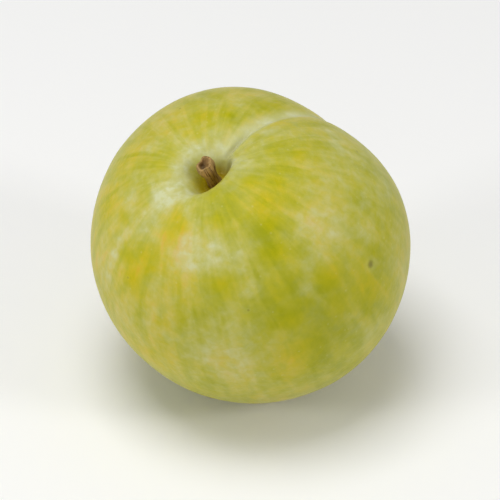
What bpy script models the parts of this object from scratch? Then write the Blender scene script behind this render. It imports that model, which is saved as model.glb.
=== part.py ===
"""A ripe yellow-green plum with the stub of its stalk, resting on a small flat spot.

The fruit is a nearly round egg. A seam in a broad furrow runs down one side, from the stem hollow to the
blossom tip. Every size is in metres. The fruit's own frame has +Z to the stem end and +X to the seam.
"""

import math

import bmesh
import bpy
import numpy as np
from mathutils import Matrix, Vector

# The egg
WIDTH = 0.0462
LENGTH = 0.0486
SHOULDER_TAPER = 0.014        # how much broader the stem half is than the blossom half
BLOSSOM_PULL = 0.0015         # the blossom end is blunter than the egg by this much
BLOSSOM_REACH = 0.014
TIP_HEIGHT = 0.00035          # the small point left by the flower
TIP_REACH = 0.0021

# The stem hollow: a shallow dip between the shoulders, and a steep pit in its middle. The pit's wall is
# nearer and steeper on the -Y side than on the +Y side.
DIP_DEPTH = 0.0014
DIP_REACH = 0.0050
PIT_DEPTH = 0.0049
PIT_ALONG_SEAM = 0.0033
PIT_NEAR_WALL = 0.0021
PIT_FAR_WALL = 0.0027
PIT_NEAR_STEEPNESS = 6.0
PIT_FAR_STEEPNESS = 3.0
PIT_SIDE_REACH = 0.0008       # how gradually one side turns into the other

# The furrow: a broad valley with the narrow seam at its bottom, and a steeper neck near the pit
VALLEY_DEPTH = 0.00235
VALLEY_REACH = 0.0120
SEAM_DEPTH = 0.00025
SEAM_REACH = 0.0016
NECK_DEPTH = 0.0012
NECK_REACH = 0.0028
NECK_RUN = math.radians(42)
FURROW_START = 0.0035         # the furrow deepens over this distance from the stem
FURROW_SIDE_REACH = 0.0022    # how gradually it stops on the far side of the stem
FURROW_FADE_FROM = math.radians(70)
FURROW_LEFT_AT_TIP = 0.05
SEAM_BOW = 0.0009             # the seam bows to +Y by this much on its way from the pit
SEAM_BOW_AT = math.radians(28)
SEAM_BOW_RUN = math.radians(24)

# The slow unevenness of a grown fruit: (height, waves round the stem, waves from end to end, start angle)
SWELLS = (
    (0.00022, 2, 1, math.radians(25)),
    (0.00016, 3, 2, math.radians(110)),
    (0.00010, 5, 1, math.radians(200)),
)

# How the fruit lies
LEAN = math.radians(27.9)            # of the stem axis from upright
LEAN_HEADING = math.radians(-127.5)  # from +X, towards the front and left
SEAM_TURN = math.radians(173.0)      # of the seam round the stem axis
SPOT_DEPTH = 0.00033                 # of the flesh that the resting spot presses flat

# The stalk's stub, and the seat that holds it
STALK_LENGTH = 0.0051
STALK_RADIUS = 0.00098
STALK_FOOT_FLARE = 0.00024
STALK_FOOT_REACH = 0.22       # share of the length
STALK_HEAD_SWELL = 0.00034    # the stub is swollen where it broke off
STALK_HEAD_AT = 0.86          # share of the length
STALK_HEAD_REACH = 0.20
STALK_BEND = 0.0009
STALK_BEND_TOWARDS = math.radians(65)   # from the seam
STALK_RIDGES = 5
STALK_RIDGE_HEIGHT = 0.00005
STALK_SLANT = 0.0003          # the break is this much higher on one side and lower on the other
STALK_SLANT_FROM = 0.55       # share of the length
STALK_HIGH_SIDE = math.radians(-20)     # from the seam
STALK_DISH = 0.0004           # how far the broken end is hollowed
STALK_FOOT_RING = (0.0, 0.80)           # share of the length, share of the radius
STALK_SIDE_FROM = 0.04                  # share of the length
STALK_SIDE_TO = 0.95
STALK_END_RINGS = ((1.0, 0.90), (0.985, 0.72))
SEAT_DEPTH = 0.0009
SEAT_GAP = 0.0003
SEAT_CUT_TOP = 0.0022         # above the pit's floor, clear of its sloping sides

# Mesh
MERIDIANS = 76
MERIDIAN_CROWDING = 1.35      # above 1, the meridians stand closer together at the seam
FIRST_STEP = 0.00042          # between the rings in the pit
STEP_GROWTH = 0.10
WIDEST_STEP = 0.0018
STALK_SIDES = 20
STALK_RINGS = 14
SEAT_SIDES = 32

SKIN_COLOUR = (0.47, 0.45, 0.07, 1.0)
SKIN_ROUGHNESS = 0.5
STALK_COLOUR = (0.19, 0.11, 0.05, 1.0)
STALK_ROUGHNESS = 0.75
SHARP_ANGLE = math.radians(50)     # between faces that shade as an edge


def bell(distance, reach):
    """1 at the middle, falling smoothly to nothing past the reach."""
    return np.exp(-((distance / reach) ** 2))


def smooth_step(value, low, high):
    """0 below low, 1 above high, and smooth between them."""
    share = np.clip((value - low) / (high - low), 0, 1)
    return share * share * (3 - 2 * share)


def egg(polar, azimuth):
    """The plain egg, as x, y and z. polar is 0 at the stem end and pi at the blossom end."""
    radius = WIDTH / 2 * np.sin(polar) * (1 + SHOULDER_TAPER * np.cos(polar))
    height = LENGTH / 2 * np.cos(polar)
    blossom_half = np.cos(polar) < 0
    height = height + blossom_half * (
        BLOSSOM_PULL * bell(radius, BLOSSOM_REACH) - TIP_HEIGHT * bell(radius, TIP_REACH)
    )
    return radius * np.cos(azimuth), radius * np.sin(azimuth), height


def stem_hollow(x, y):
    """How far the stem end is sunk at this distance from the axis."""
    dip = DIP_DEPTH * bell(np.hypot(x, y), DIP_REACH)
    far_side = 1 / (1 + np.exp(-y / PIT_SIDE_REACH))
    wall = PIT_NEAR_WALL + (PIT_FAR_WALL - PIT_NEAR_WALL) * far_side
    steepness = PIT_NEAR_STEEPNESS + (PIT_FAR_STEEPNESS - PIT_NEAR_STEEPNESS) * far_side
    pit = PIT_DEPTH / (1 + np.hypot(x / PIT_ALONG_SEAM, y / wall) ** steepness)
    return dip + pit


def furrow(x, y, polar):
    """How far the furrow is sunk. It lies on the +X side only, and grows shallow towards the tip."""
    from_seam = y - SEAM_BOW * bell(polar - SEAM_BOW_AT, SEAM_BOW_RUN)
    seam_side = 1 / (1 + np.exp(-x / FURROW_SIDE_REACH))
    start = 1 - bell(np.hypot(x, y), FURROW_START)
    fade = np.clip((polar - FURROW_FADE_FROM) / (math.pi - FURROW_FADE_FROM), 0, 1)
    left = 1 - (1 - FURROW_LEFT_AT_TIP) * (1 - np.cos(fade * math.pi)) / 2
    valley = VALLEY_DEPTH * bell(from_seam, VALLEY_REACH) + SEAM_DEPTH * bell(from_seam, SEAM_REACH)
    neck = NECK_DEPTH * bell(from_seam, NECK_REACH) * bell(polar, NECK_RUN)
    return seam_side * start * (left * valley + neck)


def swell(polar, azimuth):
    """The slow unevenness: a few low waves that die out at both ends."""
    waves = [
        height * np.sin(round_waves * azimuth + start) * np.cos(end_waves * polar + start)
        for height, round_waves, end_waves, start in SWELLS
    ]
    return sum(waves) * np.sin(polar) ** 2


def skin_points(polar, azimuth):
    """Points of the skin in the fruit's frame, for arrays of angles."""
    x, y, z = egg(polar, azimuth)
    stem_half = np.clip(4 * np.cos(polar), 0, 1)
    points = np.stack([x, y, z - stem_half * stem_hollow(x, y)], axis=-1)
    outward = swell(polar, azimuth) - furrow(x, y, polar)
    reach = np.linalg.norm(points, axis=-1)
    return points * (1 + outward / reach)[..., None]


def ring_angles():
    """Polar angles of the rings: close together in the pit, then wider, measured along the skin."""
    fine = np.linspace(0, math.pi, 3000)
    profile = skin_points(fine, np.full_like(fine, math.pi / 2))
    along = np.concatenate([[0], np.cumsum(np.linalg.norm(np.diff(profile, axis=0), axis=1))])
    stops = [FIRST_STEP]
    while stops[-1] < along[-1]:
        stops.append(stops[-1] + min(FIRST_STEP + STEP_GROWTH * stops[-1], WIDEST_STEP))
    fitted = np.array(stops) * along[-1] / stops[-1]
    return np.interp(fitted[:-1], along, fine)


def meridian_angles():
    """Azimuths of the meridians, crowded towards the seam at 0."""
    share = np.linspace(-1, 1, MERIDIANS, endpoint=False)
    return math.pi * np.sign(share) * np.abs(share) ** MERIDIAN_CROWDING


def add_rings(mesh, rings, first_pole, last_pole):
    """Joins rings of points into a closed skin between two poles."""
    first = mesh.verts.new(first_pole)
    last = mesh.verts.new(last_pole)
    loops = [[mesh.verts.new(point) for point in ring] for ring in rings]
    count = len(loops[0])
    for i in range(count):
        j = (i + 1) % count
        mesh.faces.new((first, loops[0][i], loops[0][j]))
        mesh.faces.new((last, loops[-1][j], loops[-1][i]))
        for upper, lower in zip(loops, loops[1:]):
            mesh.faces.new((upper[i], lower[i], lower[j], upper[j]))


def leaning():
    """The turn from the fruit's frame to the ground's."""
    return (
        Matrix.Rotation(LEAN_HEADING, 3, "Z")
        @ Matrix.Rotation(LEAN, 3, "Y")
        @ Matrix.Rotation(SEAM_TURN, 3, "Z")
    )


def press_flat_spot(mesh):
    """Cuts the lowest flesh off level, closes the cut, and returns the flat spot's centre."""
    down = leaning().inverted() @ Vector((0, 0, -1))
    lowest = max(vertex.co.dot(down) for vertex in mesh.verts)
    level = lowest - SPOT_DEPTH
    everything = mesh.verts[:] + mesh.edges[:] + mesh.faces[:]
    bmesh.ops.bisect_plane(mesh, geom=everything, plane_co=down * level, plane_no=down, clear_outer=True)
    rim = [edge for edge in mesh.edges if edge.is_boundary]
    spot = bmesh.ops.holes_fill(mesh, edges=rim, sides=0)["faces"][0]
    return spot.calc_center_median_weighted()


def object_from(mesh, name, material, parent):
    """Turns a bmesh into a smooth-shaded object under the parent."""
    mesh.normal_update()
    data = bpy.data.meshes.new(name)
    mesh.to_mesh(data)
    mesh.free()
    data.materials.append(material)
    data.shade_smooth()
    data.set_sharp_from_angle(angle=SHARP_ANGLE)
    made = bpy.data.objects.new(name, data)
    bpy.context.scene.collection.objects.link(made)
    made.parent = parent
    return made


def make_material(name, colour, roughness):
    material = bpy.data.materials.new(name)
    material.use_nodes = True
    shader = material.node_tree.nodes["Principled BSDF"]
    shader.inputs["Base Color"].default_value = colour
    shader.inputs["Roughness"].default_value = roughness
    shader.inputs["Metallic"].default_value = 0.0
    return material


def pit_floor():
    """Height of the bottom of the stem pit on the stem axis."""
    return LENGTH / 2 - DIP_DEPTH - PIT_DEPTH


def make_fruit(stem_axis):
    """The whole fruit as one solid, and the centre of its flat spot in the fruit's frame."""
    mesh = bmesh.new()
    azimuths = meridian_angles()
    rings = [skin_points(np.full_like(azimuths, polar), azimuths) for polar in ring_angles()]
    tip = -LENGTH / 2 + BLOSSOM_PULL - TIP_HEIGHT
    add_rings(mesh, rings, (0, 0, pit_floor()), (0, 0, tip))
    bmesh.ops.recalc_face_normals(mesh, faces=mesh.faces[:])
    spot_centre = press_flat_spot(mesh)
    material = make_material("plum skin", SKIN_COLOUR, SKIN_ROUGHNESS)
    return object_from(mesh, "fruit", material, stem_axis), spot_centre


def stalk_radius(share, azimuth):
    """Radius of the stub: flared at its foot and swollen below its broken end, with low ridges along it."""
    foot = STALK_FOOT_FLARE * bell(share, STALK_FOOT_REACH)
    head = STALK_HEAD_SWELL * bell(share - STALK_HEAD_AT, STALK_HEAD_REACH)
    ridges = STALK_RIDGE_HEIGHT * np.cos(STALK_RIDGES * azimuth)
    return STALK_RADIUS + foot + head + ridges


def make_stalk(stem_axis):
    """The stub of the stalk: a short ridged stem that bends a little and ends in a slanted, dished break."""
    foot = pit_floor() - SEAT_DEPTH + SEAT_GAP
    bend = STALK_BEND * np.array([math.cos(STALK_BEND_TOWARDS), math.sin(STALK_BEND_TOWARDS)])
    azimuths = np.linspace(0, 2 * math.pi, STALK_SIDES, endpoint=False)
    sides = [(share, 1.0) for share in np.linspace(STALK_SIDE_FROM, STALK_SIDE_TO, STALK_RINGS)]
    rings = []
    for share, inset in (STALK_FOOT_RING, *sides, *STALK_END_RINGS):
        radius = inset * stalk_radius(share, azimuths)
        x = radius * np.cos(azimuths) + bend[0] * share**2
        y = radius * np.sin(azimuths) + bend[1] * share**2
        slanted = STALK_SLANT * inset * smooth_step(share, STALK_SLANT_FROM, 1)
        z = foot + STALK_LENGTH * share + slanted * np.cos(azimuths - STALK_HIGH_SIDE)
        rings.append(np.stack([x, y, z], axis=-1))
    mesh = bmesh.new()
    end = foot + STALK_LENGTH - STALK_DISH
    add_rings(mesh, rings, (0, 0, foot), (bend[0], bend[1], end))
    bmesh.ops.recalc_face_normals(mesh, faces=mesh.faces[:])
    material = make_material("stalk", STALK_COLOUR, STALK_ROUGHNESS)
    return object_from(mesh, "stalk", material, stem_axis)


def cut_seat(fruit, stem_axis):
    """Sinks a round seat into the floor of the pit, a gap wider and deeper than the stalk's foot."""
    radius = STALK_RADIUS + STALK_FOOT_FLARE + STALK_RIDGE_HEIGHT + SEAT_GAP
    height = SEAT_DEPTH + SEAT_CUT_TOP
    mesh = bmesh.new()
    bmesh.ops.create_cone(
        mesh, cap_ends=True, segments=SEAT_SIDES, radius1=radius, radius2=radius, depth=height
    )
    bmesh.ops.translate(mesh, verts=mesh.verts, vec=(0, 0, pit_floor() - SEAT_DEPTH + height / 2))
    data = bpy.data.meshes.new("seat cutter")
    mesh.to_mesh(data)
    mesh.free()
    cutter = bpy.data.objects.new("seat cutter", data)
    bpy.context.scene.collection.objects.link(cutter)
    cutter.parent = stem_axis
    cutter.hide_render = True
    cutter.display_type = "WIRE"
    seat = fruit.modifiers.new("stalk seat", "BOOLEAN")
    seat.operation = "DIFFERENCE"
    seat.solver = "EXACT"
    seat.object = cutter


def clear_scene():
    for old in list(bpy.data.objects):
        bpy.data.objects.remove(old, do_unlink=True)


def main():
    clear_scene()
    stem_axis = bpy.data.objects.new("stem axis", None)
    bpy.context.scene.collection.objects.link(stem_axis)
    fruit, spot_centre = make_fruit(stem_axis)
    make_stalk(stem_axis)
    cut_seat(fruit, stem_axis)
    lean = leaning()
    stem_axis.matrix_world = Matrix.Translation(-(lean @ spot_centre)) @ lean.to_4x4()


main()
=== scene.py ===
# The looks of a ripe yellow-green plum: its skin, the stub of its stalk, a pale floor, lights and camera.
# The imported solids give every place. Sizes are in metres, angles in radians unless a name says degrees.
# The fruit's own frame has +Z to the stem end and +X to the seam; "polar" is the angle from the stem end
# and "azimuth" the angle round it from the seam.
import math

import bpy
import numpy as np
from mathutils import Matrix, Vector


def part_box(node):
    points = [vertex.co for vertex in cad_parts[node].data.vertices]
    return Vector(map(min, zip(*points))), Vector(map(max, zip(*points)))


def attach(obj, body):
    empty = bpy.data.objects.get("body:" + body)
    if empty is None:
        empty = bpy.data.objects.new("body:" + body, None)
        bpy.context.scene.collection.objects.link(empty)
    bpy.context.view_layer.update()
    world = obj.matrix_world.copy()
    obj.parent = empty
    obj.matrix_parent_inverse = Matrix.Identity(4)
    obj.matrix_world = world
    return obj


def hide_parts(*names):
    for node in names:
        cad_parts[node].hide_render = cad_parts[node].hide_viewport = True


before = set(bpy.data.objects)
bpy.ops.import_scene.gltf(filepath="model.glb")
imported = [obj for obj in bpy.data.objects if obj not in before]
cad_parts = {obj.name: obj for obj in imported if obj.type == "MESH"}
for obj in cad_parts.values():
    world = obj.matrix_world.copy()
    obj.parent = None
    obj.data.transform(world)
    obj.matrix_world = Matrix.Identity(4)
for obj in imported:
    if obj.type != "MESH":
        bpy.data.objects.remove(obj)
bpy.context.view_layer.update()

print("scene: the packed plum is loaded")


# Shapes that both pieces use

def bell(distance, reach):
    # e to the power of minus the square of distance over reach: one at the middle, nothing past the reach
    return np.exp(-((distance / reach) ** 2))


def rampUp(value, reach):
    # the logistic curve: nothing well below zero, one well above, half at zero
    return 1 / (1 + np.exp(-value / reach))


def smoothStep(value, low, high):
    # three times the square less twice the cube of the share of the way from low to high
    share = np.clip((value - low) / (high - low), 0, 1)
    return share * share * (3 - 2 * share)


def closedGrid(name, rows, firstPole, lastPole):
    # rows is an array (rows, columns, 3). Every row is a closed ring, and a fan closes each end at a pole
    rowCount, columnCount = rows.shape[:2]
    row, column = np.meshgrid(np.arange(rowCount - 1), np.arange(columnCount), indexing="ij")
    following = (column + 1) % columnCount
    base = row * columnCount
    below = base + columnCount
    quads = np.stack([base + column, below + column, below + following, base + following], axis=-1)
    ring = np.arange(columnCount)
    nextInRing = (ring + 1) % columnCount
    top = np.full(columnCount, rowCount * columnCount)
    lastRow = (rowCount - 1) * columnCount
    firstFan = np.stack([top, ring, nextInRing], axis=-1)
    lastFan = np.stack([top + 1, lastRow + nextInRing, lastRow + ring], axis=-1)
    points = np.concatenate([rows.reshape(-1, 3), [firstPole, lastPole]])
    faces = quads.reshape(-1, 4).tolist() + firstFan.tolist() + lastFan.tolist()
    mesh = bpy.data.meshes.new(name)
    mesh.from_pydata(points, [], faces)
    mesh.validate()
    mesh.shade_smooth()
    piece = bpy.data.objects.new(name, mesh)
    bpy.context.scene.collection.objects.link(piece)
    return piece


def keepOnPoints(piece, name, values):
    # stores one number, or one vector, for each point of the piece, for its material to read
    values = np.asarray(values, dtype=np.float32)
    kind = "FLOAT_VECTOR" if values.ndim == 2 else "FLOAT"
    slotName = "vector" if values.ndim == 2 else "value"
    attribute = piece.data.attributes.new(name, kind, "POINT")
    attribute.data.foreach_set(slotName, values.ravel())


def withPoles(grid, firstValue, lastValue):
    # flattens a grid of values in the order of closedGrid's points
    grid = np.asarray(grid)
    tail = grid.reshape(grid.shape[0] * grid.shape[1], -1)
    ends = np.array([firstValue, lastValue]).reshape(2, -1)
    flat = np.concatenate([tail, ends])
    return flat[:, 0] if flat.shape[1] == 1 else flat


# The fruit

plum = {
    "width": 0.0462,
    "length": 0.0486,
    "shoulderTaper": 0.014,            # how much broader the stem half is
    "blossomPull": 0.0015,             # how much blunter the blossom end is
    "blossomReach": 0.014,
    "tipHeight": 0.00035,
    "tipReach": 0.0021,
    "hollowFadeIn": 4,                 # how quickly the stem hollow comes in above the middle
    "dipDepth": 0.0014,
    "dipReach": 0.0050,
    "pitDepth": 0.0049,
    "pitAlongSeam": 0.0033,
    "pitNearWall": 0.0021,
    "pitFarWall": 0.0027,
    "pitNearSteepness": 6.0,
    "pitFarSteepness": 3.0,
    "pitSideReach": 0.0008,
    "valleyDepth": 0.00235,
    "valleyReach": 0.0120,
    "seamDepth": 0.00025,
    "seamReach": 0.0016,
    "neckDepth": 0.0012,
    "neckReach": 0.0028,
    "neckRun": math.radians(42),
    "furrowStart": 0.0035,
    "furrowSideReach": 0.0022,
    "furrowFadeFrom": math.radians(70),
    "furrowLeftAtTip": 0.05,
    "seamBow": 0.0009,
    "seamBowAt": math.radians(28),
    "seamBowRun": math.radians(24),
    "swells": [                        # height, waves round, waves from end to end, start
        (0.00022, 2, 1, math.radians(25)),
        (0.00016, 3, 2, math.radians(110)),
        (0.00010, 5, 1, math.radians(200)),
    ],
    "lean": math.radians(27.9),
    "leanHeading": math.radians(-127.5),
    "seamTurn": math.radians(173.0),
    "meridians": 384,
    "rings": 255,
    "meridianCrowding": 1.35,          # above one, meridians stand closer at the seam
    "firstRingStep": 0.00011,
    "ringStepGrowth": 0.03,
    "widestRingStep": 0.00042,
    "spotSoftness": 0.0003,            # how gradually the skin turns into the flat spot
    "insideSolid": 0.00003,            # the skin stays this far inside the solid's box
    "poleAngle": 1e-6,                 # a pole's point is worked out this far from the axis
    "profileSteps": 6000,
    "unevenness": 0.000055,            # height of the small waves in the skin
    "unevenWaves": 22,
    "unevenSeed": 11,
    "unevenLimit": 2,                  # the sum of the waves is cut past this
    "shortestWave": 0.0032,
    "longestWave": 0.0110,
    "ribHeight": 0.000045,             # faint ribs that run out from the pit
    "ribs": 23,
    "ribReach": 0.0105,
    "ribsBegin": 0.25,                 # share of that reach in which the pit has none
    "ribWander": [                     # how far, waves round, waves from end to end, start
        (1.6, 2, 0, 0.7), (0.9, 5, 9, 0.0),
    ],
    "collarHeight": 0.00035,           # the skin's rise round the stub's foot
    "collarAt": 0.00130,
    "collarReach": 0.00045,
    "creaseDepth": 0.00060,            # a sharp crease in the furrow's middle, deepest near the pit
    "creaseReach": 0.00055,
    "creaseRun": math.radians(36),
    "lipHeight": 0.00022,              # the near lobe's edge stands up beside the crease
    "lipAt": -0.0010,
    "lipReach": 0.0007,
}


def eggPoint(polar, azimuth):
    # radius is half the width times sin(polar), a little more in the stem half; height is half the length
    # times cos(polar), pulled in at the blossom end but for a small point on the axis
    radius = plum["width"] / 2 * np.sin(polar) * (1 + plum["shoulderTaper"] * np.cos(polar))
    pull = plum["blossomPull"] * bell(radius, plum["blossomReach"])
    point = plum["tipHeight"] * bell(radius, plum["tipReach"])
    height = plum["length"] / 2 * np.cos(polar) + (np.cos(polar) < 0) * (pull - point)
    return radius * np.cos(azimuth), radius * np.sin(azimuth), height


def stemHollow(x, y):
    # a bell-shaped dip, plus the pit: its depth over one plus a power of the distance from the axis in pit
    # widths; the power is high at the near wall and low at the far one
    farSide = rampUp(y, plum["pitSideReach"])
    wall = plum["pitNearWall"] + (plum["pitFarWall"] - plum["pitNearWall"]) * farSide
    power = plum["pitNearSteepness"] + (plum["pitFarSteepness"] - plum["pitNearSteepness"]) * farSide
    spread = np.hypot(x / plum["pitAlongSeam"], y / wall)
    dip = plum["dipDepth"] * bell(np.hypot(x, y), plum["dipReach"])
    return dip + plum["pitDepth"] / (1 + spread**power)


def fromSeam(y, polar):
    # distance across the seam, which bows to one side on its way from the pit
    return y - plum["seamBow"] * bell(polar - plum["seamBowAt"], plum["seamBowRun"])


def onSeamSide(x, y):
    # one on the seam's side of the fruit, nothing on the other side and close to the axis
    return rampUp(x, plum["furrowSideReach"]) * (1 - bell(np.hypot(x, y), plum["furrowStart"]))


def furrowDepth(x, y, polar):
    # a broad bell across the seam, a narrow one in its middle and a steeper one near the pit, on the seam's
    # side only; a cosine lets them fade towards the tip
    across = fromSeam(y, polar)
    fade = np.clip((polar - plum["furrowFadeFrom"]) / (math.pi - plum["furrowFadeFrom"]), 0, 1)
    left = 1 - (1 - plum["furrowLeftAtTip"]) * (1 - np.cos(fade * math.pi)) / 2
    valley = plum["valleyDepth"] * bell(across, plum["valleyReach"])
    valley = valley + plum["seamDepth"] * bell(across, plum["seamReach"])
    neck = plum["neckDepth"] * bell(across, plum["neckReach"]) * bell(polar, plum["neckRun"])
    return onSeamSide(x, y) * (left * valley + neck)


def creaseRelief(x, y, polar):
    # a narrow bell sunk at the seam and a low one raised beside it, both fading away from the pit
    across = fromSeam(y, polar)
    crease = plum["creaseDepth"] * bell(across, plum["creaseReach"])
    lip = plum["lipHeight"] * bell(across - plum["lipAt"], plum["lipReach"])
    return onSeamSide(x, y) * bell(polar, plum["creaseRun"]) * (lip - crease)


def swellHeight(polar, azimuth):
    # low waves round the fruit and along it, times the square of sin(polar), so they die out at the ends
    waves = [
        height * np.sin(around * azimuth + start) * np.cos(along * polar + start)
        for height, around, along, start in plum["swells"]
    ]
    return sum(waves) * np.sin(polar) ** 2


def unevenSkin(points):
    # the sum of sine waves in seeded directions, longer ones higher, cut at a limit; never above zero
    draw = np.random.default_rng(plum["unevenSeed"])
    directions = draw.normal(size=(plum["unevenWaves"], 3))
    directions /= np.linalg.norm(directions, axis=1)[:, None]
    lengths = draw.uniform(plum["shortestWave"], plum["longestWave"], plum["unevenWaves"])
    starts = draw.uniform(0, 2 * math.pi, plum["unevenWaves"])
    phase = points @ (directions * (2 * math.pi / lengths)[:, None]).T + starts
    waves = np.sin(phase) @ (lengths / lengths.max()) / math.sqrt(plum["unevenWaves"])
    limit = plum["unevenLimit"]
    return plum["unevenness"] * (np.clip(waves, -limit, limit) - limit) / limit


def pitRibs(polar, azimuth, radius):
    # a cosine round the stem whose phase wanders by sines; a wide bell less a narrow one keeps it to the
    # shoulders
    wander = sum(
        far * np.sin(around * azimuth + along * polar + start)
        for far, around, along, start in plum["ribWander"]
    )
    inPit = bell(radius, plum["ribReach"] * plum["ribsBegin"])
    strength = bell(radius, plum["ribReach"]) * (1 - inPit)
    return plum["ribHeight"] * (np.cos(plum["ribs"] * azimuth + wander) - 1) * strength


def skinPoints(polar, azimuth, fine):
    # the egg less its hollow, moved along its own radius by the swells, the furrow and the fine relief
    x, y, z = eggPoint(polar, azimuth)
    stemHalf = np.clip(plum["hollowFadeIn"] * np.cos(polar), 0, 1)
    points = np.stack([x, y, z - stemHalf * stemHollow(x, y)], axis=-1)
    outward = swellHeight(polar, azimuth) - furrowDepth(x, y, polar)
    if fine:
        radius = np.hypot(x, y)
        outward = outward + unevenSkin(points) + pitRibs(polar, azimuth, radius)
        outward = outward + creaseRelief(x, y, polar)
        collar = plum["collarHeight"] * bell(radius - plum["collarAt"], plum["collarReach"])
        points[..., 2] += stemHalf * collar
    reach = np.linalg.norm(points, axis=-1)
    return points * (1 + outward / reach)[..., None]


def ringAngles():
    # walks along the skin with a step that grows from the pit outwards, and spreads the rings evenly on it
    fine = np.linspace(0, math.pi, plum["profileSteps"])
    profile = skinPoints(fine, np.full_like(fine, math.pi / 2), False)
    along = np.concatenate([[0], np.cumsum(np.linalg.norm(np.diff(profile, axis=0), axis=1))])
    step = np.minimum(plum["firstRingStep"] + plum["ringStepGrowth"] * along, plum["widestRingStep"])
    count = np.concatenate([[0], np.cumsum(np.diff(along) / step[1:])])
    wanted = np.linspace(0, count[-1], plum["rings"] + 2)[1:-1]
    return np.interp(wanted, count, fine)


def meridianAngles():
    # a signed power of an even share, so that the meridians crowd at the seam
    share = np.linspace(-1, 1, plum["meridians"], endpoint=False)
    return math.pi * np.sign(share) * np.abs(share) ** plum["meridianCrowding"]


def leaning():
    # turned about the stem axis, leaned over, and headed to the front and left
    heading = Matrix.Rotation(plum["leanHeading"], 3, "Z")
    lean = Matrix.Rotation(plum["lean"], 3, "Y")
    return np.array(heading @ lean @ Matrix.Rotation(plum["seamTurn"], 3, "Z"))


def placeInFrame(polar, azimuth):
    # where the fruit's own origin lies: its outline is centred in the solid's box, with its top at the top
    low, high = (np.array(corner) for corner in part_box("fruit"))
    leaned = skinPoints(polar, azimuth, False) @ leaning().T
    leaned = leaned.reshape(-1, 3)
    place = (low + high) / 2 - (leaned.min(axis=0) + leaned.max(axis=0)) / 2
    place[2] = high[2] - leaned[:, 2].max() - plum["insideSolid"]
    return place


def pressOnFloor(points):
    # a smooth maximum of the height and zero: the lowest skin lies flat on the floor
    soft = plum["spotSoftness"]
    share = np.clip(0.5 + points[..., 2] / (2 * soft), 0, 1)
    points[..., 2] = points[..., 2] * share + soft * share * (1 - share)
    return points


def toGround(points, place):
    return points @ leaning().T + place


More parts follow.
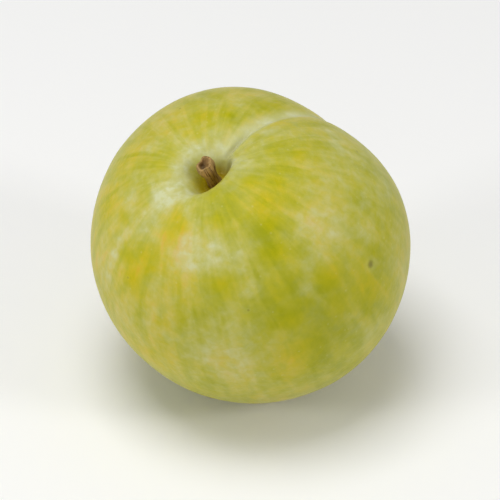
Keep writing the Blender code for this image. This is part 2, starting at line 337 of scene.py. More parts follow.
# Where the colours of the skin lie. Lengths are measured from the stem axis or across the seam, pit widths
# from the stem axis, and the plain pairs are angles from the stem end between which a thing comes or goes.
colouring = {
    "streaksBegin": 0.0065,
    "pitEdge": 0.76,                   # in pit widths
    "pitEdgePower": 5,
    "rimAt": 1.45,                     # in pit widths
    "rimInside": 0.38,
    "rimOutside": 0.60,
    "rimLeast": 0.12,                  # bloom on the rim's far side, as a share of its palest place
    "rimPalestAt": math.radians(128),
    "rimPaleRun": math.radians(66),
    "footPaintedShade": 0.55,                 # painted shade in the pit: darker round the stub's foot, and most at one place
    "footPaintedShadeReach": 0.0016,
    "deepestPaintedShade": 1.5,
    "deepestAt": (0.0017, 0.0003),
    "deepestReach": 0.0012,
    "bandReach": 0.0013,               # pale band beside the seam, soft on its far side
    "bandWider": 0.0015,               # by which it is wider at the pit
    "bandWideRun": math.radians(17),
    "bandNearEdge": 0.0010,            # and sharp on the near one
    "bandFade": 0.55,
    "bandFades": (0.8, 1.4),
    "wholeBandEnds": (0.7, 1.4),       # past this the band is broken up
    "lineReach": 0.00050,              # painted shade: a dull line in the crease, near the pit
    "lineAt": math.radians(14),
    "lineRun": math.radians(9),
    "sutureReach": 0.00026,            # thin line along the rest of the seam
    "sutureBegins": (0.8, 1.6),
    "sutureEnds": (2.6, 3.0),
    "tipReach": 0.0011,
    # patches: degrees from the stem end, degrees round from the seam, reach in degrees, strength
    "patches": {
        "bloom": [                     # thick bloom
            (17, 157, 6, 1.35), (13, 172, 6, 1.1), (14, -176, 4, 0.8), (26, 166, 3, 0.6),
            # the patches near 30 degrees from the stem and -140 to -170 round are partly bloom and partly
            # painted light on the lower left
            (36, 163, 3, 0.55), (31, 171, 4, 0.4), (31, -150, 8, 0.85), (31, -147, 5, 1.15),
            (33, -138, 6, 0.85), (37, -124, 5, 0.45), (31, 142, 4, 0.35), (49, -122, 4, 0.4),
            (33, 158, 2.2, 0.45), (38, 158, 2.4, 0.65), (43, 158, 2.4, 0.75), (48, 158, 2.4, 0.75),
            # (48, -80) here is partly bloom and partly a painted highlight, the soft sheen on the right lobe
            (53, 158, 2.6, 0.7), (58, 158, 2.8, 0.6), (64, 157, 3, 0.45), (48, -80, 9, 0.52),
            (58, -103, 3, 0.45), (74, -76, 3, 0.4), (66, -70, 4, 0.4), (11, 60, 6, 1), (12, 25, 4, 0.6),
            (9, -33, 5, 1), (12, -52, 5, 0.6), (21, -25, 6, 0.3), (29, -8, 4, 0.4), (28, 100, 4, 0.35),
            (47, -53, 6, 0.2), (56, -41, 7, 0.4), (58, -19, 6, 0.4), (60, -30, 10, 0.35),
            (68, -44, 8, 0.3), (62, -57, 6, 0.3), (16, 34, 4, 0.4), (104, 120, 22, 0.6),
            (125, 10, 26, 0.6), (95, 60, 17, 0.5), (140, -120, 24, 0.55), (62, 45, 12, 0.35),
            (75, -140, 14, 0.4),
        ],
        "ripe": [                      # more yellow
            # the patches near 30 degrees from the stem and -160 to -170 round are partly yellow skin and
            # partly painted light on the lower left
            (28, 64, 14, 0.75), (24, 46, 3, 0.7), (21, -170, 5, 0.75), (30, -169, 6, 1.3),
            (31, -161, 9, 1.2), (46, 175, 4, 0.35), (26, -85, 6, 0.25), (24, -33, 5, 0.3),
            # (48, -80) here is a painted highlight, a yellower soft sheen on the right lobe
            (34, -39, 4, 0.25), (48, -80, 9, 0.45), (48, 30, 8, 0.25), (84, -82, 6, 0.35),
            (56, -92, 7, 0.4), (65, -92, 6, 0.35), (60, 150, 10, 0.45), (75, 170, 18, 0.5),
            (90, 95, 16, 0.5), (120, -40, 20, 0.5),
        ],
        "green": [                     # less yellow
            (36, -100, 8, 0.6), (65, -107, 15, 0.6), (28, 24, 4, 0.9), (57, 139, 8, 0.5),
            (37, 150, 4, 0.5), (42, 165, 3, 0.6), (88, -95, 16, 0.45), (44, 20, 6, 0.4),
            # (100, -112) here is partly greener skin and partly painted shade, darkening the lower front
            (100, -20, 22, 0.5), (110, 170, 24, 0.6), (100, -112, 16, 0.6), (22, -62, 4, 0.4),
            (14, -110, 6, 0.4), (79, -106, 12, 0.8), (86, -84, 6, 0.5), (20, 106, 8, 0.5),
            (17, -118, 7, 0.5), (22, -33, 7, 0.5), (28, -52, 6, 0.45),
        ],
        "rubbed": [                    # the bloom is gone
            (34, -40, 4, 0.5), (18, -76, 5, 1), (26, -85, 6, 1), (33, -97, 7, 1), (41, -104, 7, 1),
            (27, -66, 6, 1), (32, -76, 5, 0.8), (19, -110, 7, 1), (12, -125, 4, 1), (21, -126, 4, 1),
            (27, -168, 5, 1), (21, -170, 3, 0.8), (29, 50, 4, 0.8), (29, 28, 4, 1), (43, 12, 5, 0.6),
            (18, 56, 3, 0.7), (57, 88, 8, 0.6), (41, 110, 7, 0.7), (23, 144, 3, 0.6), (63, -92, 8, 0.9),
            (72, -96, 9, 0.8), (46, 131, 8, 1), (36, 149, 3, 0.8), (43, 168, 5, 0.9), (49, 174, 6, 1),
            (39, 178, 7, 0.9), (44, -135, 7, 0.9), (53, -115, 10, 0.9), (64, -114, 10, 1),
            (80, -115, 18, 0.9), (76, -84, 13, 0.9), (90, 40, 12, 0.6), (105, 150, 14, 0.6),
            (75, 100, 10, 0.5), (120, -90, 14, 0.6), (25, -31, 4, 0.6), (29, -50, 4, 0.6),
            (24, -163, 4, 1),
        ],
    },
    # small scars: degrees from the stem end, degrees round from the seam, radius, strength
    "scars": [
        (72.5, -76.8, 0.00085, 0.65), (38.0, 63.0, 0.00030, 0.45), (55.0, -128.0, 0.00026, 0.40),
        (63.0, -30.0, 0.00034, 0.35), (88.0, 150.0, 0.00042, 0.55), (70.0, 100.0, 0.00030, 0.45),
        (112.0, 35.0, 0.00048, 0.60), (118.0, -70.0, 0.00032, 0.40), (50.0, 172.0, 0.00024, 0.35),
        (80.0, 12.0, 0.00028, 0.40),
    ],
}


def directionAt(polar, azimuth):
    # the unit vector from the fruit's middle at these two angles
    level = np.sin(polar)
    return np.stack([level * np.cos(azimuth), level * np.sin(azimuth), np.cos(polar)], axis=-1)


def patchMask(name, polar, azimuth):
    # the largest of some bells of the angle between a point's direction and each patch's middle
    direction = directionAt(polar, azimuth)
    mask = np.zeros_like(polar)
    for fromStem, fromSeamLine, reach, strength in colouring["patches"][name]:
        middle = directionAt(math.radians(fromStem), math.radians(fromSeamLine))
        angle = np.degrees(np.arccos(np.clip(direction @ middle, -1, 1)))
        mask = np.maximum(mask, strength * bell(angle, reach))
    return mask


def skinMasks(polar, azimuth):
    # each mask's values on the grid, at the stem's pole and at the blossom's; bells of the distance from the
    # stem axis or from the seam, and smooth steps from end to end
    x, y, _ = eggPoint(polar, azimuth)
    radius = np.hypot(x, y)
    stemSide = np.cos(polar) > 0
    across = fromSeam(y, polar)
    seamSide = onSeamSide(x, y)

    spread = np.hypot(x / plum["pitAlongSeam"], y / plum["pitFarWall"])
    pit = stemSide / (1 + (spread / colouring["pitEdge"]) ** colouring["pitEdgePower"])
    fromPale = (azimuth - colouring["rimPalestAt"] + math.pi) % (2 * math.pi) - math.pi
    rimReach = np.where(spread < colouring["rimAt"], colouring["rimInside"], colouring["rimOutside"])
    least = colouring["rimLeast"]
    rim = bell(spread - colouring["rimAt"], rimReach)
    rim = stemSide * rim * (least + (1 - least) * bell(fromPale, colouring["rimPaleRun"]))
    # painted shade in the pit, darkest round the stub's foot and at one place beside it
    deepX, deepY = colouring["deepestAt"]
    deep = colouring["deepestPaintedShade"] * bell(np.hypot(x - deepX, y - deepY), colouring["deepestReach"])
    shade = np.maximum(colouring["footPaintedShade"] * bell(radius, colouring["footPaintedShadeReach"]), deep)

    steep = bell(polar, colouring["bandWideRun"])
    farBank = bell(across, colouring["bandReach"] + colouring["bandWider"] * steep)
    nearEdge = bell((across / colouring["bandNearEdge"]) ** 2, 1.0)
    band = np.where(across > 0, farBank, nearEdge)
    band = band * (1 - colouring["bandFade"] * smoothStep(polar, *colouring["bandFades"]))
    # painted shade along the bottom of the crease near the pit
    line = bell(across, colouring["lineReach"]) * bell(polar - colouring["lineAt"], colouring["lineRun"])
    suture = bell(across, colouring["sutureReach"]) * smoothStep(polar, *colouring["sutureBegins"])
    suture = suture * (1 - smoothStep(polar, *colouring["sutureEnds"]))

    meridian = np.stack([np.cos(azimuth), np.sin(azimuth), polar], axis=-1)
    return {
        "meridian": (meridian, [1, 0, 0], [1, 0, math.pi]),
        "open": (1 - bell(radius, colouring["streaksBegin"]), 0, 1),
        "pit": (pit, 1, 0),
        "rim": (rim, 0, 0),
        "pitPaintedShade": (stemSide * shade, colouring["footPaintedShade"], 0),
        "seamBand": (seamSide * band, 0, 0),
        "nearPit": (1 - smoothStep(polar, *colouring["wholeBandEnds"]), 1, 0),
        "paintedCreaseShade": (seamSide * line, 0, 0),
        "suture": (seamSide * suture, 0, 0),
        "tip": (~stemSide * bell(radius, colouring["tipReach"]), 0, 1),
        **{name: (patchMask(name, polar, azimuth), 0, 0) for name in colouring["patches"]},
    }


def makeFruit():
    azimuth, polar = np.meshgrid(meridianAngles(), ringAngles())
    place = placeInFrame(polar, azimuth)
    rows = pressOnFloor(toGround(skinPoints(polar, azimuth, True), place))
    endPolar = np.array([plum["poleAngle"], math.pi - plum["poleAngle"]])
    ends = pressOnFloor(toGround(skinPoints(endPolar, np.zeros(2), True), place))
    fruit = closedGrid("plum_skin", rows, ends[0], ends[1])
    for name, (mask, atStem, atBlossom) in skinMasks(polar, azimuth).items():
        keepOnPoints(fruit, name, withPoles(mask, atStem, atBlossom))
    return fruit, place


# The stub of the stalk

stub = {
    "length": 0.0051,
    "radius": 0.00098,
    "footFlare": 0.00024,
    "footReach": 0.22,                 # share of the length
    "headSwell": 0.00034,              # the stalk is swollen where it broke
    "headAt": 0.86,                    # share of the length
    "headReach": 0.20,
    "knobs": [                         # share of the radius, count round the head, drift along it, start
        (0.085, 2, 1.6, 0.4), (0.065, 3, -2.2, 2.1), (0.040, 5, 3.0, 0.9),
    ],
    "knobsGrow": (0.3, 0.8),           # shares of the length
    "bend": 0.0009,
    "bendTowards": math.radians(65),
    "ridges": 5,
    "ridgeHeight": 0.00005,
    "seatDepth": 0.0009,
    "seatGap": 0.0003,
    "around": 112,
    "along": 140,
    "insideSolid": 0.00004,
    "fibreHeight": 0.00007,
    "fibreSets": [                     # strands round the shaft, drift along it
        (9, 1.3), (14, -2.1), (23, 3.4), (31, -1.7),
    ],
    "footEnd": 0.04,                   # shares of the walk from the foot's middle to the end's
    "shaftEnd": 0.70,
    "lipEnd": 0.80,
    "lipWidth": 0.30,                  # share of the radius that the torn lip takes
    "lipHeight": 0.00016,
    "lipTear": 0.00017,
    "tears": [                         # share of the tear, count round the lip, start
        (0.5, 3, 0.8), (0.3, 7, 2.0), (0.2, 12, 0.0),
    ],
    "endDrop": 0.00024,                # keeps the torn lip below the solid's end
    "slant": 0.00030,                  # the break is higher on one side
    "slantGrows": (0.55, 1.0),         # shares of the length
    "highSide": math.radians(-20),
    "dishDepth": 0.00050,
    "hollowSide": math.radians(150),   # the dish is deepest off its middle
    "hollowDepth": 0.5,                # share of the dish's depth
    "hollowPaintedShadeAt": 0.90,              # painted shade in the torn end's hollow; of the walk, as the next three are
    "hollowPaintedShadeReach": 0.08,
    "tornColour": (0.72, 0.84),
    # painted shade on the stub's lower part, down in the pit
    "stubFootPaintedShade": (0.12, 0.64),
    "hollowPaintedShadeAtEndPole": 0.3,
}


def stubRadius(share, azimuth):
    # the shaft's radius, with a bell of flare at the foot and at the head, cosines for the ridges, and a few
    # slow waves for the head's knobs
    flare = stub["footFlare"] * bell(share, stub["footReach"])
    flare = flare + stub["headSwell"] * bell(share - stub["headAt"], stub["headReach"])
    knobs = sum(
        height * np.sin(count * azimuth + drift * share + start)
        for height, count, drift, start in stub["knobs"]
    )
    ridges = stub["ridgeHeight"] * np.cos(stub["ridges"] * azimuth + share)
    return (stub["radius"] + flare) * (1 + knobs * smoothStep(share, *stub["knobsGrow"])) + ridges


def fibres(share, azimuth):
    # the mean of cosines round the shaft whose phase drifts along it, like a dry stem's strands; below zero
    waves = [np.cos(count * azimuth + drift * share + count) for count, drift in stub["fibreSets"]]
    return stub["fibreHeight"] * (sum(waves) / len(waves) - 1) / 2


def tornEdge(azimuth):
    # three sines round the lip, from minus one to one
    return sum(height * np.sin(count * azimuth + start) for height, count, start in stub["tears"])


def stubPoints(walk, azimuth):
    # walk runs from the foot's middle out to its rim, up the shaft, over the torn lip (half a sine high) and
    # across the dished end to its middle; the shaft bends by the square of its share
    bottom = plum["length"] / 2 - plum["dipDepth"] - plum["pitDepth"] - stub["seatDepth"] + stub["seatGap"]
    share = np.clip((walk - stub["footEnd"]) / (stub["shaftEnd"] - stub["footEnd"]), 0, 1)
    overLip = np.clip((walk - stub["shaftEnd"]) / (stub["lipEnd"] - stub["shaftEnd"]), 0, 1)
    inDish = np.clip((walk - stub["lipEnd"]) / (1 - stub["lipEnd"]), 0, 1)
    inset = np.clip(walk / stub["footEnd"], 0, 1)
    inset = inset - stub["lipWidth"] * (1 - np.cos(math.pi * overLip)) / 2
    inset = inset - (1 - stub["lipWidth"]) * inDish
    head = smoothStep(share, *stub["slantGrows"])
    lip = np.sin(math.pi * overLip) * (stub["lipHeight"] + stub["lipTear"] * tornEdge(azimuth) / 2)
    slant = stub["slant"] * inset * np.cos(azimuth - stub["highSide"])
    dish = stub["dishDepth"] * (1 - (1 - inDish) ** 2)
    hollow = np.sin(math.pi * inDish) * np.cos(azimuth - stub["hollowSide"])
    dish = dish + stub["hollowDepth"] * stub["dishDepth"] * hollow
    radius = inset * (stubRadius(share, azimuth) + fibres(share, azimuth) - stub["insideSolid"])
    x = radius * np.cos(azimuth) + stub["bend"] * math.cos(stub["bendTowards"]) * share**2
    y = radius * np.sin(azimuth) + stub["bend"] * math.sin(stub["bendTowards"]) * share**2
    z = bottom + stub["length"] * share + lip - dish + head * (slant - stub["endDrop"])
    return np.stack([x, y, z], axis=-1)


def makeStub(place):
    azimuth, walk = np.meshgrid(
        np.linspace(0, 2 * math.pi, stub["around"], endpoint=False),
        np.linspace(0, 1, stub["along"] + 2)[1:-1],
    )
    rows = toGround(stubPoints(walk, azimuth), place)
    ends = toGround(stubPoints(np.array([0.0, 1.0]), np.zeros(2)), place)
    piece = closedGrid("stalk_stub", rows[:, ::-1], ends[0], ends[1])
    # painted shade in the torn end's hollow, strongest on one side
    hollowSide = 0.5 + 0.5 * np.cos(azimuth - stub["hollowSide"])
    hollow = bell(walk - stub["hollowPaintedShadeAt"], stub["hollowPaintedShadeReach"]) * hollowSide
    masks = {
        "strand": (np.stack([np.cos(azimuth), np.sin(azimuth), walk], axis=-1), [0, 0, 0], [0, 0, 1]),
        "tornEnd": (smoothStep(walk, *stub["tornColour"]), 0, 1),
        "hollow": (hollow, 0, stub["hollowPaintedShadeAtEndPole"]),
        # painted shade, darker towards the stub's foot in the pit
        "foot": (1 - smoothStep(walk, *stub["stubFootPaintedShade"]), 1, 0),
    }
    for name, (mask, atFoot, atEnd) in masks.items():
        keepOnPoints(piece, name, withPoles(mask[:, ::-1], atFoot, atEnd))
    return piece


# Node helpers

def srgb(red, green, blue):
    # picture values from 0 to 255 turned into the linear colour a shader takes
    values = np.array([red, green, blue]) / 255
    linear = np.where(values <= 0.04045, values / 12.92, ((values + 0.055) / 1.055) ** 2.4)
    return (*linear.tolist(), 1.0)


class NodeBench:
    # adds nodes to one tree; an input is named or numbered, and given as a value or another node's output
    def __init__(self, tree):
        self.tree = tree

    def add(self, kind, inputs=None, **settings):
        node = self.tree.nodes.new(kind)
        for key, value in settings.items():
            setattr(node, key, value)
        for key, value in (inputs or {}).items():
            self.feed(node.inputs[key], value)
        return node

    def feed(self, socket, value):
        if isinstance(value, bpy.types.NodeSocket):
            self.tree.links.new(value, socket)
        else:
            socket.default_value = value

    def math(self, operation, *values, clamp=False):
        node = self.add("ShaderNodeMath", dict(enumerate(values)), operation=operation, use_clamp=clamp)
        return node.outputs[0]

    def times(self, value, factor, clamp=False):
        return self.math("MULTIPLY", value, factor, clamp=clamp)

    def line(self, value, slope, start):
        # the value times a slope, plus a start
        return self.math("MULTIPLY_ADD", value, slope, start)

    def total(self, shares, values):
        # the start plus each value times its share, kept from 0 to 1
        last = shares["start"]
        for name, share in shares.items():
            if name != "start":
                last = self.line(values[name], share, last)
        return self.math("ADD", last, 0.0, clamp=True)

    def mixNumber(self, amount, first, second):
        node = self.add("ShaderNodeMix", data_type="FLOAT")
        self.feed(node.inputs[0], amount)
        self.feed(node.inputs[2], first)
        self.feed(node.inputs[3], second)
        return node.outputs[0]

    def mixColour(self, amount, first, second):
        node = self.add("ShaderNodeMix", data_type="RGBA")
        self.feed(node.inputs[0], amount)
        self.feed(node.inputs[6], first)
        self.feed(node.inputs[7], second)
        return node.outputs[2]

    def layOver(self, colour, over, mask, amount):
        # the second colour laid over the first, as far as the mask times the amount says
        return self.mixColour(self.times(mask, amount), colour, over)

    def read(self, name, output="Fac"):
        return self.add("ShaderNodeAttribute", attribute_name=name).outputs[output]

    def group(self, name, **inputs):
        node = self.add("ShaderNodeGroup", node_tree=bpy.data.node_groups[name])
        for key, value in inputs.items():
            self.feed(node.inputs[key], value)
        return node

    def stretched(self, vector, scale):
        return self.add("ShaderNodeMapping", {"Vector": vector, "Scale": scale}).outputs[0]

    def softCut(self, value, low, high):
        # a smooth step from nothing at the first level to one at the second
        inputs = {"Value": value, "From Min": low, "From Max": high}
        return self.add("ShaderNodeMapRange", inputs, interpolation_type="SMOOTHSTEP").outputs[0]

    def bump(self, height, distance, normal=None):
        inputs = {"Height": height, "Distance": distance, "Strength": 1.0}
        if normal:
            inputs["Normal"] = normal
        return self.add("ShaderNodeBump", inputs).outputs[0]


def newGroup(name, inputs, outputs):
    # inputs is a dictionary of socket name to (kind, value); outputs of socket name to kind
    tree = bpy.data.node_groups.new(name, "ShaderNodeTree")
    kinds = {"number": "NodeSocketFloat", "colour": "NodeSocketColor", "vector": "NodeSocketVector"}
    for key, (kind, value) in inputs.items():
        socket = tree.interface.new_socket(name=key, in_out="INPUT", socket_type=kinds[kind])
        if value is not None:
            socket.default_value = value
    for key, kind in outputs.items():
        tree.interface.new_socket(name=key, in_out="OUTPUT", socket_type=kinds[kind])
    bench = NodeBench(tree)
    return bench, bench.add("NodeGroupInput").outputs, bench.add("NodeGroupOutput").inputs


# Effects that more than one material uses

def makeMottleGroup():
    # cloudy noise, plain and cut between two levels
    bench, given, out = newGroup(
        "mottle",
        {
            "Vector": ("vector", None), "Scale": ("number", 100.0), "Detail": ("number", 3.0),
            "Wander": ("number", 0.0), "Low": ("number", 0.4), "High": ("number", 0.6),
        },
        {"Mask": "number", "Raw": "number"},
    )
    noise = bench.add(
        "ShaderNodeTexNoise",
        {
            "Vector": given["Vector"], "Scale": given["Scale"], "Detail": given["Detail"],
            "Distortion": given["Wander"],
        },
    )
    bench.feed(out["Mask"], bench.softCut(noise.outputs[0], given["Low"], given["High"]))
    bench.feed(out["Raw"], noise.outputs[0])


def makeDotsGroup():
    # soft round dots at the middles of some of a cell pattern's cells
    bench, given, out = newGroup(
        "dots",
        {
            "Vector": ("vector", None), "Scale": ("number", 600.0), "Size": ("number", 0.15),
            "Kept": ("number", 0.5),
        },
        {"Mask": "number"},
    )
    cells = bench.add("ShaderNodeTexVoronoi", {"Vector": given["Vector"], "Scale": given["Scale"]})
    near = bench.softCut(cells.outputs["Distance"], given["Size"], 0.0)
    pick = bench.add("ShaderNodeSeparateColor", {"Color": cells.outputs["Color"]})
    kept = bench.math("LESS_THAN", pick.outputs[0], given["Kept"])
    bench.feed(out["Mask"], bench.times(near, kept))


scarShape = {
    "wobbleScale": 2200.0,             # waves per metre
    "wobble": (0.6, 0.7),              # how much the noise counts, and the start that it is added to
    "core": (1.0, 0.15),               # from the edge to the full tone, in radii of the scar
    "ring": (1.9, 0.9),
}


def makeScarGroup():
    # a soft round spot about one point, darkest in its middle, with a pale ring; a noise bends both
    bench, given, out = newGroup(
        "scar",
        {"Vector": ("vector", None), "Centre": ("vector", None), "Radius": ("number", 0.0003)},
        {"Core": "number", "Ring": "number"},
    )
    ends = {0: given["Vector"], 1: given["Centre"]}
    apart = bench.add("ShaderNodeVectorMath", ends, operation="DISTANCE")
    wobble = bench.add(
        "ShaderNodeTexNoise",
        {"Vector": given["Vector"], "Scale": scarShape["wobbleScale"], "Detail": 2.0},
    )
    even = bench.math("DIVIDE", apart.outputs["Value"], given["Radius"])
    share = bench.times(even, bench.line(wobble.outputs[0], *scarShape["wobble"]))
    bench.feed(out["Core"], bench.softCut(share, *scarShape["core"]))
    bench.feed(out["Ring"], bench.softCut(share, *scarShape["ring"]))


def makeFilmGroup():
    # a thin pale film, such as wax or dust, laid on a colour; it also gives the film's own roughness
    bench, given, out = newGroup(
        "film",
        {
            "Colour": ("colour", None), "Film": ("colour", None), "Amount": ("number", 0.5),
            "Bare Roughness": ("number", 0.4), "Film Roughness": ("number", 0.7),
        },
        {"Colour": "colour", "Roughness": "number"},
    )
    amount = bench.times(given["Amount"], 1.0, clamp=True)
    bench.feed(out["Colour"], bench.mixColour(amount, given["Colour"], given["Film"]))
    gap = bench.math("SUBTRACT", given["Film Roughness"], given["Bare Roughness"])
    bench.feed(out["Roughness"], bench.line(gap, amount, given["Bare Roughness"]))


# The fruit's skin material

skinLook = {
    "green": srgb(158, 160, 8),
    "middle": srgb(178, 173, 12),
    "ripe": srgb(197, 180, 10),
    "amber": srgb(208, 172, 24),
    "pitFlesh": srgb(190, 166, 22),
    # painted shade, dark brown, in the pit round the stub's foot
    "pitPaintedShade": srgb(92, 64, 2),
    # the seam colour is painted shade, a greyish line in the crease near the pit
    "bloom": srgb(204, 206, 160),
    "seam": srgb(156, 150, 100),
    "suture": srgb(122, 124, 30),
    "scar": srgb(108, 96, 44),
    "lenticel": srgb(214, 212, 140),
    "ripenessStops": [(0.08, "green"), (0.45, "middle"), (0.78, "ripe"), (1.0, "amber")],
    # waves per metre, or per unit of the stretched meridians, and where each noise is cut
    "noises": {
        "broad": {"Scale": 85.0, "Detail": 2.0, "Wander": 0.4, "Low": 0.30, "High": 0.70},
        "middling": {"Scale": 300.0, "Detail": 2.5, "Wander": 0.5, "Low": 0.28, "High": 0.72},
        "fine": {"Scale": 1100.0, "Detail": 3.0, "Wander": 0.2, "Low": 0.32, "High": 0.68},
        "clouds": {"Scale": 150.0, "Detail": 4.0, "Wander": 0.4, "Low": 0.34, "High": 0.70},
        "wisps": {"Scale": 420.0, "Detail": 4.0, "Wander": 0.4, "Low": 0.32, "High": 0.72},
        "grains": {"Scale": 900.0, "Detail": 4.0, "Wander": 0.3, "Low": 0.34, "High": 0.70},
        "streaks": {"Scale": 1.0, "Detail": 2.0, "Wander": 0.5, "Low": 0.34, "High": 0.66},
        "threads": {"Scale": 1.0, "Detail": 2.0, "Wander": 0.3, "Low": 0.38, "High": 0.66},
    },
    "stretches": {"streaks": (8.0, 8.0, 2.2), "threads": (24.0, 24.0, 5.0)},
    # how much each noise or patch adds to the ripeness, and to the thin haze of bloom
    "ripenessShares": {
        "start": 0.02, "broad": 0.26, "middling": 0.24, "fine": 0.12, "streaks": 0.26, "threads": 0.06,
        "ripe": 0.40, "green": -0.40,
    },
    "hazeShares": {"start": 0.00, "clouds": 0.17, "wisps": 0.16, "streaks": 0.13, "threads": 0.03},
    # pairs: how much of a noise or mask counts, and the start that it is added to
    "patchBreaks": (0.58, 0.49),
    "patchRubbed": (-0.7, 1.0),
    "grainRubbed": (0.45, 0.66),
    "bandBroken": (0.9, 0.10),
    "bandNearlyWhole": (0.50, 0.74),
    "sutureBreaks": (0.5, 0.2),
    "patchBloom": 0.85,
    "bandBloom": 0.72,
    "pitClears": 2.0,                  # power of the share outside the pit; higher keeps bloom further out
    "dots": {"Scale": 760.0, "Size": 0.20, "Kept": 0.6},
    "dotAmount": 0.22,
    "pitAmount": 0.90,
    "pitPaintedShadeAmount": 0.42,
    "tipAmount": 0.7,
    "paintedCreaseShadeAmount": 0.46,
    "scarRing": 0.12,
    "bareRoughness": 0.36,
    "bloomRoughness": 0.62,
    "sheen": 0.02,
    "sheenRoughness": 0.45,
    "subsurface": 0.15,
    "glowColours": (1.0, 0.85, 0.30),
    "glowDepth": 0.0016,
    "gloss": 0.10,
    "peelScale": 1500.0,
    "peelBump": 0.00006,
    "bloomBump": 0.00003,
}


def ripeColour(bench, values):
    # from green through yellow to amber, by a sum of noises and patches
    ramp = bench.add("ShaderNodeValToRGB", {"Fac": bench.total(skinLook["ripenessShares"], values)})
    stops = skinLook["ripenessStops"]
    elements = ramp.color_ramp.elements
    elements[0].position, elements[0].color = stops[0][0], skinLook[stops[0][1]]
    elements[1].position, elements[1].color = stops[-1][0], skinLook[stops[-1][1]]
    for position, name in stops[1:-1]:
        elements.new(position).color = skinLook[name]
    return ramp.outputs["Color"]


def bloomAmount(bench, values):
    # a thin haze where it isn't rubbed off, then the patches and the pit's rim, and the band by the seam
    unrubbed = bench.math("SUBTRACT", 1.0, values["rubbed"])
    haze = bench.times(bench.total(skinLook["hazeShares"], values), unrubbed)
    patchy = bench.times(values["bloom"], bench.line(values["rubbed"], *skinLook["patchRubbed"]))
    placed = bench.math("MAXIMUM", patchy, bench.read("rim"))
    placed = bench.times(placed, bench.line(values["wisps"], *skinLook["patchBreaks"]))
    bloom = bench.line(placed, skinLook["patchBloom"], haze)
    bloom = bench.times(bloom, bench.line(values["grains"], *skinLook["grainRubbed"]))
    broken = bench.line(values["clouds"], *skinLook["bandBroken"])
    nearlyWhole = bench.line(values["middling"], *skinLook["bandNearlyWhole"])
    unbroken = bench.mixNumber(bench.read("nearPit"), broken, nearlyWhole)
    bloom = bench.line(bench.times(bench.read("seamBand"), unbroken), skinLook["bandBloom"], bloom)
    outside = bench.math("SUBTRACT", 1.0, bench.read("pit"))
    return bench.times(bloom, bench.math("POWER", outside, skinLook["pitClears"]), clamp=True)


def withScars(bench, colour, place, origin):
    for fromStem, fromSeamLine, radius, strength in colouring["scars"]:
        polar, azimuth = np.radians([fromStem]), np.radians([fromSeamLine])
        centre = toGround(skinPoints(polar, azimuth, True), origin)[0]
        spot = bench.group("scar", Vector=place, Centre=centre, Radius=radius)
        ringAmount = skinLook["scarRing"] * strength
        colour = bench.layOver(colour, skinLook["lenticel"], spot.outputs["Ring"], ringAmount)
        colour = bench.layOver(colour, skinLook["scar"], spot.outputs["Core"], strength)
    return colour


def makeSkinMaterial(origin):
    material = bpy.data.materials.new("plum skin")
    material.use_nodes = True
    shader = material.node_tree.nodes["Principled BSDF"]
    bench = NodeBench(material.node_tree)
    place = bench.add("ShaderNodeTexCoord").outputs["Object"]
    meridian = bench.read("meridian", "Vector")
    values = {name: bench.read(name) for name in colouring["patches"]}
    for name, settings in skinLook["noises"].items():
        stretch = skinLook["stretches"].get(name)
        vector = bench.stretched(meridian, stretch) if stretch else place
        mottle = bench.group("mottle", Vector=vector, **settings)
        values[name] = mottle.outputs["Mask"]
        if name == "grains":
            grainHeight = mottle.outputs["Raw"]
    for name in skinLook["stretches"]:
        values[name] = bench.times(values[name], bench.read("open"))

    colour = ripeColour(bench, values)
    dots = bench.group("dots", Vector=place, **skinLook["dots"])
    colour = bench.layOver(colour, skinLook["lenticel"], dots.outputs["Mask"], skinLook["dotAmount"])
    colour = bench.layOver(colour, skinLook["pitFlesh"], bench.read("pit"), skinLook["pitAmount"])
    # painted shade in the pit round the stub's foot
    colour = bench.layOver(colour, skinLook["pitPaintedShade"], bench.read("pitPaintedShade"), skinLook["pitPaintedShadeAmount"])
    colour = bench.layOver(colour, skinLook["scar"], bench.read("tip"), skinLook["tipAmount"])
    film = bench.group("film", **{
        "Colour": colour, "Film": skinLook["bloom"], "Amount": bloomAmount(bench, values),
        "Bare Roughness": skinLook["bareRoughness"], "Film Roughness": skinLook["bloomRoughness"],
    })
    colour = film.outputs["Colour"]
    # painted shade, a dull line in the crease near the pit
    colour = bench.layOver(colour, skinLook["seam"], bench.read("paintedCreaseShade"), skinLook["paintedCreaseShadeAmount"])
    sutureBreaks = bench.line(values["wisps"], *skinLook["sutureBreaks"])
    colour = bench.layOver(colour, skinLook["suture"], bench.read("suture"), sutureBreaks)
    colour = withScars(bench, colour, place, origin)

    peel = bench.add("ShaderNodeTexNoise", {"Vector": place, "Scale": skinLook["peelScale"], "Detail": 2.0})
    peelNormal = bench.bump(peel.outputs[0], skinLook["peelBump"])
    bench.feed(shader.inputs["Base Color"], colour)
    bench.feed(shader.inputs["Roughness"], film.outputs["Roughness"])
    bench.feed(shader.inputs["Normal"], bench.bump(grainHeight, skinLook["bloomBump"], peelNormal))
    shader.inputs["Subsurface Weight"].default_value = skinLook["subsurface"]
    shader.inputs["Subsurface Radius"].default_value = skinLook["glowColours"]
    shader.inputs["Subsurface Scale"].default_value = skinLook["glowDepth"]
    shader.inputs["Specular IOR Level"].default_value = skinLook["gloss"]
    shader.inputs["Sheen Weight"].default_value = skinLook["sheen"]
    shader.inputs["Sheen Roughness"].default_value = skinLook["sheenRoughness"]
    return material


# The stub's material

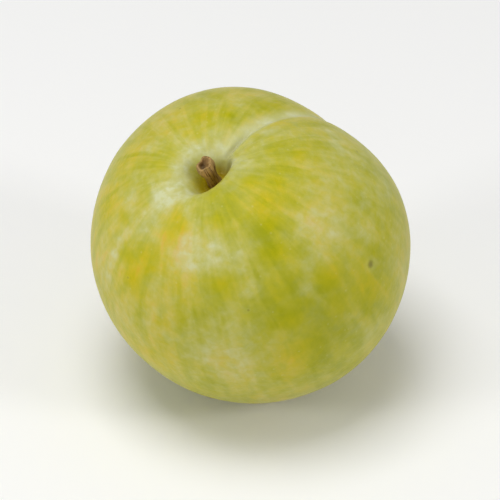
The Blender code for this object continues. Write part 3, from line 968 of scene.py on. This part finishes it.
stubLook = {
    "bark": srgb(172, 134, 68),
    "groove": srgb(96, 66, 26),
    "pith": srgb(128, 92, 40),
    "lip": srgb(188, 152, 92),
    # painted shade in the hollow of the torn end
    "hollowPaintedShade": srgb(58, 36, 12),
    # painted shade on the stub's lower part, down in the pit
    "foot": srgb(84, 62, 10),
    "dust": srgb(174, 148, 94),
    "strandStretch": (5.0, 5.0, 3.0),
    "fibre": {"Scale": 1.0, "Detail": 4.0, "Wander": 0.3, "Low": 0.38, "High": 0.60},
    "blotch": {"Scale": 900.0, "Detail": 3.0, "Wander": 0.5, "Low": 0.40, "High": 0.62},
    "pores": {"Scale": 2600.0, "Size": 0.30, "Kept": 0.4},
    "blotchAmount": 0.35,
    "pithAmount": 0.8,
    "rimAmount": 0.50,
    "hollowPaintedShadeAmount": 0.8,
    "poreAmount": 0.5,
    "stubFootPaintedShadeAmount": 0.45,
    "dustAmount": 0.22,
    "bareRoughness": 0.62,
    "dustRoughness": 0.85,
    "fibreBump": 0.00010,
}


def makeStubMaterial():
    material = bpy.data.materials.new("dry stalk")
    material.use_nodes = True
    shader = material.node_tree.nodes["Principled BSDF"]
    bench = NodeBench(material.node_tree)
    place = bench.add("ShaderNodeTexCoord").outputs["Object"]
    along = bench.stretched(bench.read("strand", "Vector"), stubLook["strandStretch"])
    fibre = bench.group("mottle", Vector=along, **stubLook["fibre"])
    blotch = bench.group("mottle", Vector=place, **stubLook["blotch"]).outputs["Mask"]
    pores = bench.group("dots", Vector=place, **stubLook["pores"]).outputs["Mask"]
    torn = bench.read("tornEnd")
    rim = bench.times(bench.times(torn, bench.math("SUBTRACT", 1.0, torn)), 4.0)   # one where half is torn

    colour = bench.mixColour(fibre.outputs["Mask"], stubLook["groove"], stubLook["bark"])
    colour = bench.layOver(colour, stubLook["lip"], blotch, stubLook["blotchAmount"])
    colour = bench.layOver(colour, stubLook["pith"], torn, stubLook["pithAmount"])
    colour = bench.layOver(colour, stubLook["lip"], rim, stubLook["rimAmount"])
    # painted shade in the torn end's hollow
    colour = bench.layOver(colour, stubLook["hollowPaintedShade"], bench.read("hollow"), stubLook["hollowPaintedShadeAmount"])
    colour = bench.layOver(colour, stubLook["groove"], pores, stubLook["poreAmount"])
    # painted shade on the stub's lower part, down in the pit
    colour = bench.layOver(colour, stubLook["foot"], bench.read("foot"), stubLook["stubFootPaintedShadeAmount"])
    film = bench.group("film", **{
        "Colour": colour, "Film": stubLook["dust"], "Amount": bench.times(blotch, stubLook["dustAmount"]),
        "Bare Roughness": stubLook["bareRoughness"], "Film Roughness": stubLook["dustRoughness"],
    })
    bench.feed(shader.inputs["Base Color"], film.outputs["Colour"])
    bench.feed(shader.inputs["Roughness"], film.outputs["Roughness"])
    bench.feed(shader.inputs["Normal"], bench.bump(fibre.outputs["Raw"], stubLook["fibreBump"]))
    return material


# Floor, light and camera

studio = {
    "floorSize": 1.6,
    "floorColour": srgb(249, 249, 248),
    "floorRoughness": 0.9,
    "worldColour": (1.0, 1.0, 1.0, 1.0),
    "worldStrength": 0.33,
    "lamps": [                         # name, place, size, power
        ("key", (-0.09, -0.06, 0.64), 0.34, 2.26),
        ("right", (0.50, -0.27, 0.35), 0.14, 0.78),
        ("left", (-0.50, -0.24, 0.24), 0.14, 0.72),
    ],
    "aim": (0.0, 0.0, 0.022),
    "elevationDegrees": 38,
    "distance": 0.62,
    "viewWidth": 0.072,                # what the picture spans at the plum
    "sensor": 36.0,
    "clipStart": 0.01,
}


def makeFloor():
    half = studio["floorSize"] / 2
    corners = [(-half, -half, 0), (half, -half, 0), (half, half, 0), (-half, half, 0)]
    mesh = bpy.data.meshes.new("floor")
    mesh.from_pydata(corners, [], [(0, 1, 2, 3)])
    floor = bpy.data.objects.new("floor", mesh)
    bpy.context.scene.collection.objects.link(floor)
    material = bpy.data.materials.new("pale floor")
    material.use_nodes = True
    shader = material.node_tree.nodes["Principled BSDF"]
    shader.inputs["Base Color"].default_value = studio["floorColour"]
    shader.inputs["Roughness"].default_value = studio["floorRoughness"]
    mesh.materials.append(material)


def makeLight():
    world = bpy.data.worlds.new("studio")
    world.use_nodes = True
    background = world.node_tree.nodes["Background"]
    background.inputs["Color"].default_value = studio["worldColour"]
    background.inputs["Strength"].default_value = studio["worldStrength"]
    bpy.context.scene.world = world
    for name, place, size, power in studio["lamps"]:
        lamp = bpy.data.lights.new(name, "AREA")
        lamp.size = size
        lamp.energy = power
        holder = bpy.data.objects.new(name, lamp)
        holder.location = place
        holder.rotation_euler = (Vector(studio["aim"]) - Vector(place)).to_track_quat("-Z", "Y").to_euler()
        bpy.context.scene.collection.objects.link(holder)


def makeCamera():
    camera = bpy.data.cameras.new("camera")
    camera.sensor_width = studio["sensor"]
    camera.lens = studio["sensor"] * studio["distance"] / studio["viewWidth"]
    camera.clip_start = studio["clipStart"]
    holder = bpy.data.objects.new("camera", camera)
    elevation = math.radians(studio["elevationDegrees"])
    back = Vector((0, -math.cos(elevation), math.sin(elevation)))
    holder.location = Vector(studio["aim"]) + back * studio["distance"]
    holder.rotation_euler = (math.pi / 2 - elevation, 0, 0)
    bpy.context.scene.collection.objects.link(holder)
    bpy.context.scene.camera = holder


# Putting it together

makeCamera()
makeFloor()
makeLight()
bpy.context.scene.view_settings.view_transform = "Standard"
print("scene: floor, light and camera are set")

makeMottleGroup()
makeDotsGroup()
makeScarGroup()
makeFilmGroup()

fruit, place = makeFruit()
fruit.data.materials.append(makeSkinMaterial(place))
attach(fruit, "root")
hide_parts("fruit")
print("scene: the fruit is made")

stalkPiece = makeStub(place)
stalkPiece.data.materials.append(makeStubMaterial())
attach(stalkPiece, "root")
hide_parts("stalk")
print("scene: the stalk is made")
